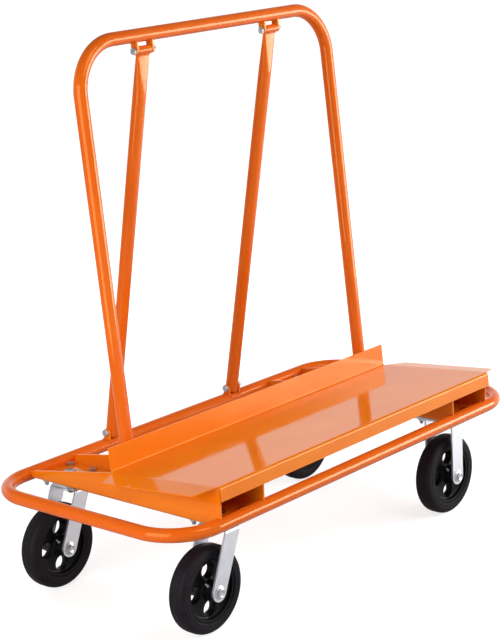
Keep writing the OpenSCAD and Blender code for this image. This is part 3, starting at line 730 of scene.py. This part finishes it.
topLow, topHigh = nodeBox("brace_top_ears")
topHalf = math.asin((topHigh.y - topLow.y) / 2 / tubeR * weld["earShare"])
footLow, footHigh = [math.asin(max(-weld["earShare"], min(weld["earShare"], (corner.y - ringY) / tubeR)))
                     for corner in nodeBox("brace_foot_ears")]
legLow, legHigh = nodeBox("hoop_foot_ears")
webReach = ringY - math.sqrt(tubeR ** 2 - (webTop - ringZ) ** 2)
beads = [[tilted @ p for p in arcPoints(x, legY, railUp, -topHalf, topHalf, -1)]
         for x in earFaces(braceX, earClear["brace_top"], 0, frameBolt["ear"])]
beads += [arcPoints(x, ringY, ringZ, footLow, footHigh, 1)
          for x in earFaces(braceX, earClear["brace_foot"], 0, frameBolt["ear"])]
beads += [[Vector((x, y, webTop)) for y in (legLow.y, legHigh.y)]
          for x in earFaces(legX, earClear["hoop_foot"], frameBolt["ear"])]
for side in ("left", "right"):
    low, high = nodeBox(side + "_channel")
    beads += [[Vector((x, y, webTop)) for x in (low.x + weld["channelInset"], high.x - weld["channelInset"])]
              for y in (-webReach, webReach)]
    beads += [[tilted @ Vector((x, y + along, -deck["thick"])) for along in (0, weld["deckStitch"])]
              for x in (low.x, high.x) for y in weld["deckStitches"]]
beads += [[tilted @ Vector((side * legX + hand * tubeR / 2, deck["thick"] + weld["legOut"], z))
           for z in weld["legStitch"]] for side in (-1, 1) for hand in (-1, 1)]
eyeSeam = math.sqrt((brace["eye"] / 2) ** 2 - (brace["flatThick"] / 2) ** 2)
beads += [[leaned @ Vector((side * braceX + end * brace["flatWide"] * weld["eyeShare"],
                            hand * brace["flatThick"] / 2, braceLong - eyeSeam)) for end in (-1, 1)]
          for side in (-1, 1) for hand in (-1, 1)]
# The beads take the tube coat, with its painted shade.
makePiece("frameWelds", layBeads(beads, tubeCoatPaintedShade, weld["size"]), tubeCoatPaintedShade, "chassis", "orange_paint")
print("frame welded")

# Caster heads: plate, races, balls and kingpin over a swivel fork, or a bracket in one piece
race = {"bore": 22, "edge": 0.5, "split": 1.2, "lowerR": 36, "lowerEdge": 1, "lowerRound": 3, "skirtIn": 38,
        "skirtInRound": 1, "skirtR": 42, "skirtGap": 4, "hemIn": 0.8, "hemOut": 1, "crownDrop": 3,
        "crownRound": 4, "crownIn": 6, "count": 16, "circle": 29, "ball": 4.75}
kingpin = {"d": 16, "flats": 24, "crown": 5, "nutDrop": 0.3}
bracket = {"strap": 43, "weldLong": 52, "weldSize": 2.6}
crownTop = nodeBox("left_front_fork")[1].z
ballZ = (crownTop + plateUnder) / 2


def drawPlate():
    half, wide, corner = plate["long"] / 2, plate["wide"] / 2, plate["corner"]
    outline = roundedOutline([(-half, -wide, corner), (half, -wide, corner), (half, wide, corner),
                              (-half, wide, corner)], plate["cornerSteps"])
    return withModifiers(ringStack([[(p.x, p.y, z) for p in outline] for z in (plateUnder, baseZ)]),
                         *softEdges(plate["edge"]))


def drawUpperRace():  # with the skirt that hides the balls
    inside, hem = ballZ + race["split"], crownTop + race["skirtGap"]
    return lathe(roundedOutline([
        (race["bore"], plateUnder, race["edge"]), (race["bore"], inside, race["edge"]),
        (race["skirtIn"], inside, race["skirtInRound"]), (race["skirtIn"], hem, race["hemIn"]),
        (race["skirtR"], hem, race["hemOut"]),
        (race["skirtR"], plateUnder - race["crownDrop"], race["crownRound"]),
        (race["skirtR"] - race["crownIn"], plateUnder, race["edge"])]))


def drawLowerRace():
    inside = ballZ - race["split"]
    return lathe(roundedOutline([
        (race["bore"], crownTop, race["edge"]), (race["lowerR"], crownTop, race["lowerEdge"]),
        (race["lowerR"], inside, race["lowerRound"]), (race["bore"], inside, race["edge"])]))


plateMesh = drawPlate()
upperMesh = drawUpperRace()
lowerMesh = drawLowerRace()
ballMesh = growTree(ballTree, pathMesh([[(0, 0, 0)]]), {
    "Count": race["count"], "Circle": race["circle"], "Ball": race["ball"], "Coat": polishedSteel})
nutZ = crownTop - kingpin["crown"] - kingpin["nutDrop"]
pinLong = baseZ - nutZ + kingpin["d"] * fastener["nutRatio"] + fastener["stick"]
for caster in swivels:
    spot = headSpots[caster]
    name, swivelBody = camelName(caster), caster + "_swivel"
    here = Matrix.Translation((spot.x, spot.y, 0))
    atBalls = Matrix.Translation((spot.x, spot.y, ballZ))
    makePiece(name + "TopPlate", moved(plateMesh, here), zincPlate, "chassis", "zinc_casters",
              caster + "_plate")
    makePiece(name + "UpperRace", moved(upperMesh, here), zincPlate, "chassis", "zinc_casters",
              caster + "_upper_race")
    makePiece(name + "LowerRace", moved(lowerMesh, here), zincPlate, swivelBody, "zinc_casters",
              caster + "_lower_race")
    makePiece(name + "Balls", moved(ballMesh, atBalls), polishedSteel, swivelBody, "bearing_steel",
              caster + "_balls")
    placeFasteners(name + "Kingpin", drawBolt(kingpin, pinLong),
                   [(Vector((spot.x, spot.y, baseZ)), downward)], "chassis", caster + "_kingpin")
    placeFasteners(name + "KingpinNut", drawNut(kingpin),
                   [(Vector((spot.x, spot.y, nutZ)), downward)], "chassis", caster + "_kingpin_nut")
    makePiece(name + "Fork", softCopy(caster + "_fork", plate["edge"]), zincPlate, swivelBody, "zinc_casters",
              caster + "_fork")
for caster in rigids:
    spot = headSpots[caster]
    name = camelName(caster)
    makePiece(name + "Bracket", softCopy(caster + "_bracket", plate["edge"]), zincPlate, "chassis",
              "zinc_casters", caster + "_bracket")
    strapHalf, seamHalf = bracket["strap"] / 2, bracket["weldLong"] / 2
    seams = [[Vector((spot.x + side * strapHalf, spot.y + end * seamHalf, plateUnder)) for end in (-1, 1)]
             for side in (-1, 1)]
    makePiece(name + "BracketWelds", layBeads(seams, zincPlate, bracket["weldSize"]), zincPlate, "chassis",
              "zinc_casters")
print("caster heads made")

# Tyre: sidewall rings and tread bands, turned from one outline.
# Side corners are out from the rim and in from the face. Tread corners are in from the top and out from
# the middle. The last number of each corner is its radius.
tyre = {"r": 101.5, "rimR": 73.5, "half": 23, "sides": 160, "steps": 3,
        "side": ((0, 3, 1.5), (2, 0.5, 1.5), (9.2, 0, 1), (9.8, 0.8, 0.4), (10.8, 0.8, 0.4), (11.4, 0.1, 1)),
        "shoulder": 14, "shoulderIn": 0.3, "shoulderTurns": range(14, 75, 12), "shoulderRound": 2,
        "tread": ((0.5, 10.6, 0.5), (1.3, 10.0, 0.4), (1.3, 8.8, 0.4), (0.1, 8.2, 0.5))}


def withMirror(upper):  # a half outline and the same below it
    return upper + [(x, -y, radius) for x, y, radius in reversed(upper)]


def drawTyre():
    r, rim, half, centre = tyre["r"], tyre["rimR"], tyre["half"], tyre["shoulder"]
    bulge = centre - tyre["shoulderIn"]
    upper = [(rim + out, half - sunk, radius) for out, sunk, radius in tyre["side"]]
    for turn in map(math.radians, tyre["shoulderTurns"]):
        upper.append((r - centre + bulge * math.sin(turn), half - centre + bulge * math.cos(turn),
                      tyre["shoulderRound"]))
    upper += [(r - sunk, out, radius) for sunk, out, radius in tyre["tread"]]
    return lathe(roundedOutline(withMirror(upper), tyre["steps"]), tyre["sides"])


# Hub: an iron casting with drafted sides and four holes that flare at both faces.
# Each step of a hole's edge is a share of the flare outward and a rise from the disc's face.
hub = {"boreR": 15, "barrelR": 23, "barrelHalf": 37.5, "rimR": 73.5, "rimIn": 66.5, "rimHalf": 20,
       "discHalf": 10, "draft": 0.8, "discRise": 0.4, "fillet": 5, "edge": 0.8, "rimEdge": 1.2, "sides": 128,
       "holes": 4, "holeR": 18, "holeCircle": 44.75, "holeSides": 40, "flare": 2,
       "holeEdge": ((0.15, -2), (0.6, -0.3), (3, 2)), "sharpFrom": math.radians(45)}


def drawHub():
    draft = hub["draft"]
    upper = [(hub["boreR"], hub["barrelHalf"], hub["edge"]),
             (hub["barrelR"] - draft, hub["barrelHalf"], hub["rimEdge"]),
             (hub["barrelR"] + draft, hub["discHalf"] + hub["discRise"], hub["fillet"]),
             (hub["rimIn"] - draft, hub["discHalf"], hub["fillet"]),
             (hub["rimIn"] + draft, hub["rimHalf"], hub["rimEdge"]),
             (hub["rimR"], hub["rimHalf"], hub["edge"])]
    body = lathe(roundedOutline(withMirror(upper)), hub["sides"])
    edge = [(hub["holeR"] + hub["flare"] * share, hub["discHalf"] + rise) for share, rise in hub["holeEdge"]]
    profile = [(radius, -z) for radius, z in reversed(edge)] + edge
    cutter = ringStack([roundRing(radius, z, hub["holeSides"]) for radius, z in profile])
    out = Matrix.Translation((0, hub["holeCircle"], 0))
    spots = [Matrix.Rotation(turn, 4, "Z") @ out for turn in turnsOf(hub["holes"])]
    return drilled(body, joined(*[(cutter, s) for s in spots]), hub["sharpFrom"])


# Grease nipple: a hex foot, a neck and a ball that the gun grips, as shares of each radius and heights
nipple = {"footR": 3.4, "foot": ((1, -1.5), (1, 2.4), (0.9, 3)), "neckR": 1.9, "neck": ((1, 3.4), (1, 6.6)),
          "ballR": 2.6, "ball": ((0.93, 7.6), (1, 8.6), (0.86, 9.8), (0.45, 11)), "sides": 24,
          "along": 24, "turn": math.radians(45)}


def drawNipple():
    rings = []
    for share, z in nipple["foot"]:
        reaches = [(hexReach(nipple["footR"] * share, t), t) for t in turnsOf(nipple["sides"])]
        rings.append([(radius * math.cos(t), radius * math.sin(t), z) for radius, t in reaches])
    rings += [roundRing(nipple["neckR"] * share, z, nipple["sides"]) for share, z in nipple["neck"]]
    rings += [roundRing(nipple["ballR"] * share, z, nipple["sides"]) for share, z in nipple["ball"]]
    place = Matrix.Rotation(nipple["turn"], 4, "Z") @ Matrix.Translation((0, hub["barrelR"], nipple["along"]))
    return moved(ringStack(rings), place @ Matrix.Rotation(-math.pi / 2, 4, "X"))


# Wheels, each turning on a fixed axle
axle = {"d": 12, "flats": 19, "flange": 15.5}
tyreMesh = drawTyre()
hubMesh = drawHub()
nippleMesh = drawNipple()
for caster in swivels + rigids:
    name, wheelBody = camelName(caster), caster + "_wheel"
    forkBody = caster + "_swivel" if caster in swivels else "chassis"
    middle = nodeMiddle(caster + "_hub")
    facing = Matrix.Translation(middle) @ Matrix.Rotation(math.pi / 2, 4, "X")  # +Z looks to the loading side
    makePiece(name + "Tyre", moved(tyreMesh, facing), mouldedRubber, wheelBody, "black_rubber",
              caster + "_tyre")
    makePiece(name + "Hub", moved(hubMesh, facing), blackEnamel, wheelBody, "black_cast_iron",
              caster + "_hub")
    makePiece(name + "GreaseNipple", moved(nippleMesh, facing), zincFastener, wheelBody, "zinc_fasteners")
    boltLow, boltHigh = nodeBox(caster + "_axle_bolt")
    nutLow = nodeBox(caster + "_axle_nut")[0]
    headY = boltLow.y + axle["d"] * fastener["headRatio"]
    placeFasteners(name + "AxleBolt", drawBolt(axle, boltHigh.y - headY),
                   [(Vector((middle.x, headY, middle.z)), inward)], forkBody, caster + "_axle_bolt")
    placeFasteners(name + "AxleNut", drawNut(axle), [(Vector((middle.x, nutLow.y, middle.z)), inward)],
                   forkBody, caster + "_axle_nut")
    for node, finish in ((caster + "_axle_sleeve", zincFastener), (caster + "_bearing", sinteredBronze)):
        cadNodes[node].data.materials.clear()
        cadNodes[node].data.materials.append(finish)
print("wheels made")

# Stage: a pale floor and backdrop that look white, a dim ceiling, and six lamps
stage = {"floor": "#B8B8B8", "rough": 0.9, "white": (1, 1, 1, 1), "size": 40, "glowNear": 0.74,
         "glowFrom": 0.8, "glowFull": 2.2, "glowMirrored": (0.25, 1.0), "bright": (0.66, -0.75, 0),
         "brightFrom": 0.2, "brightFull": 2.2, "worldLight": 0.36, "wallTop": 0.22, "ceiling": 0.62,
         "ceilingLight": 0.22, "backdrop": (0.75, 0.66, 0), "backdropEdge": 0.35, "nearLight": 0.4}


def rayKinds(tree):  # 1 for a ray that comes by a mirror, and 1 for one straight from the camera
    ray = addNode(tree, "ShaderNodeLightPath").outputs
    mirrored = addNode(tree, "ShaderNodeMath", {0: ray["Is Glossy Ray"], 1: ray["Is Transmission Ray"]},
                       operation="MAXIMUM")
    return mirrored.outputs[0], ray["Is Camera Ray"]


# The floor glows a little for the eye, and more with distance, so its far part is white and the shadow stays.
# In mirrors it is brightest to the right, which draws the pale bands down the tubes.
floorFinish, tree, place = newFinish("paleFloor")
mirrored, direct = rayKinds(tree)
seen = addNode(tree, "ShaderNodeMath", {0: mirrored, 1: direct}, operation="MAXIMUM").outputs[0]
distance = addNode(tree, "ShaderNodeVectorMath", {0: place}, operation="LENGTH").outputs["Value"]
glow = addNode(tree, "ShaderNodeMapRange", {
    "Value": distance, "From Min": stage["glowFrom"], "From Max": stage["glowFull"],
    "To Min": stage["glowNear"], "To Max": 1.0}, interpolation_type="SMOOTHSTEP").outputs[0]
rightward = addNode(tree, "ShaderNodeVectorMath", {0: place, 1: stage["bright"]}, operation="DOT_PRODUCT")
reflected = addNode(tree, "ShaderNodeMapRange", {
    "Value": rightward.outputs["Value"], "From Min": stage["brightFrom"], "From Max": stage["brightFull"],
    "To Min": stage["glowMirrored"][0], "To Max": stage["glowMirrored"][1]}, interpolation_type="SMOOTHSTEP")
dimmed = addNode(tree, "ShaderNodeMapRange", {"Value": direct, "To Min": reflected.outputs[0], "To Max": 1.0})
glow = addNode(tree, "ShaderNodeMath", {0: glow, 1: seen}, operation="MULTIPLY").outputs[0]
glow = addNode(tree, "ShaderNodeMath", {0: glow, 1: dimmed.outputs[0]}, operation="MULTIPLY").outputs[0]
skin = addNode(tree, "ShaderNodeBsdfPrincipled", {
    "Base Color": linear(stage["floor"]), "Roughness": stage["rough"], "Emission Color": stage["white"],
    "Emission Strength": glow})
addNode(tree, "ShaderNodeOutputMaterial", {"Surface": skin.outputs[0]})
floorMesh = bpy.data.meshes.new("floor")
edge = stage["size"] / 2
floorCorners = [(-edge, -edge, 0), (edge, -edge, 0), (edge, edge, 0), (-edge, edge, 0)]
floorMesh.from_pydata(floorCorners, [], [(0, 1, 2, 3)])
floorMesh.materials.append(floorFinish)
floor = addObject("floor", floorMesh)

# The world is a bright backdrop behind the cart and dim in front of it, as a studio is
world = bpy.data.worlds.new("studio")
scene.world = world
world.use_nodes = True
tree = world.node_tree
tree.nodes.clear()
mirrored, direct = rayKinds(tree)
outward = addNode(tree, "ShaderNodeTexCoord").outputs["Generated"]
upward = addNode(tree, "ShaderNodeSeparateXYZ", {0: outward})
behind = addNode(tree, "ShaderNodeVectorMath", {0: outward, 1: stage["backdrop"]}, operation="DOT_PRODUCT")
backdrop = addNode(tree, "ShaderNodeMapRange", {
    "Value": behind.outputs["Value"], "From Min": -stage["backdropEdge"], "From Max": stage["backdropEdge"],
    "To Min": stage["nearLight"], "To Max": 1.0}, interpolation_type="SMOOTHSTEP").outputs[0]
wall = addNode(tree, "ShaderNodeMapRange", {
    "Value": upward.outputs["Z"], "From Min": stage["wallTop"], "From Max": stage["ceiling"], "To Min": 1.0,
    "To Max": stage["ceilingLight"]}, interpolation_type="SMOOTHSTEP").outputs[0]
share = addNode(tree, "ShaderNodeMapRange", {"Value": mirrored, "To Min": stage["worldLight"], "To Max": 1.0})
lit = addNode(tree, "ShaderNodeMath", {0: wall, 1: share.outputs[0]}, operation="MULTIPLY").outputs[0]
lit = addNode(tree, "ShaderNodeMath", {0: lit, 1: backdrop}, operation="MULTIPLY").outputs[0]
strength = addNode(tree, "ShaderNodeMath", {0: lit, 1: direct}, operation="MAXIMUM").outputs[0]
glow = addNode(tree, "ShaderNodeBackground", {"Color": stage["white"], "Strength": strength})
addNode(tree, "ShaderNodeOutputWorld", {"Surface": glow.outputs[0]})

# The strip shows only in mirrors, as a reflector card does, and draws the streaks along the tubes
lamps = {"leftSoftbox": {"at": (-2.3, -0.3, 1.0), "size": (1.6, 1.6), "power": 38, "shows": "both"},
         "frontSoftbox": {"at": (3.1, -2.85, 2.2), "size": (2.6, 2.6), "power": 130, "shows": "diffuse"},
         "frontStrip": {"at": (3.0, -2.7, 0.8), "size": (2.4, 1.5), "power": 115, "shows": "mirrored"},
         "rightSoftbox": {"at": (3.7, -0.6, 1.5), "size": (2.4, 2.4), "power": 26, "shows": "diffuse"},
         "highSoftbox": {"at": (0.2, -3.2, 3.2), "size": (2.0, 2.0), "power": 50, "shows": "both"},
         "backSoftbox": {"at": (0.6, 3.9, 1.7), "size": (2.4, 2.4), "power": 85, "shows": "diffuse"}}
aim = Vector((0, 0, 0.55))
for name, lamp in lamps.items():
    light = bpy.data.lights.new(name, "AREA")
    light.shape = "RECTANGLE"
    light.size, light.size_y = lamp["size"]
    light.energy = lamp["power"]
    stand = addObject(name, light)
    stand.location = lamp["at"]
    stand.visible_diffuse = lamp["shows"] != "mirrored"
    stand.visible_glossy = lamp["shows"] != "diffuse"
    stand.rotation_euler = (aim - stand.location).to_track_quat("-Z", "Y").to_euler()

# Camera, from the fit to the photograph's tube edges
shot = {"azimuth": -48.43, "elevation": 14.51, "distance": 4.3775, "target": (-0.1025, -0.0673, 0.602),
        "roll": -2.87, "focalPixels": 1870, "longSide": 640, "sensor": 36}
around, up = math.radians(shot["azimuth"]), math.radians(shot["elevation"])
away = Vector((math.sin(around) * math.cos(up), -math.cos(around) * math.cos(up), math.sin(up)))
lens = bpy.data.cameras.new("photoCamera")
lens.sensor_width = shot["sensor"]
lens.lens = shot["sensor"] * shot["focalPixels"] / shot["longSide"]
camera = addObject("photoCamera", lens)
camera.location = Vector(shot["target"]) + away * shot["distance"]
camera.rotation_mode = "QUATERNION"
rolled = Quaternion((0, 0, 1), math.radians(shot["roll"]))
camera.rotation_quaternion = (-away).to_track_quat("-Z", "Y") @ rolled
scene.camera = camera
scene.view_settings.view_transform = "Standard"
print("stage and camera set")
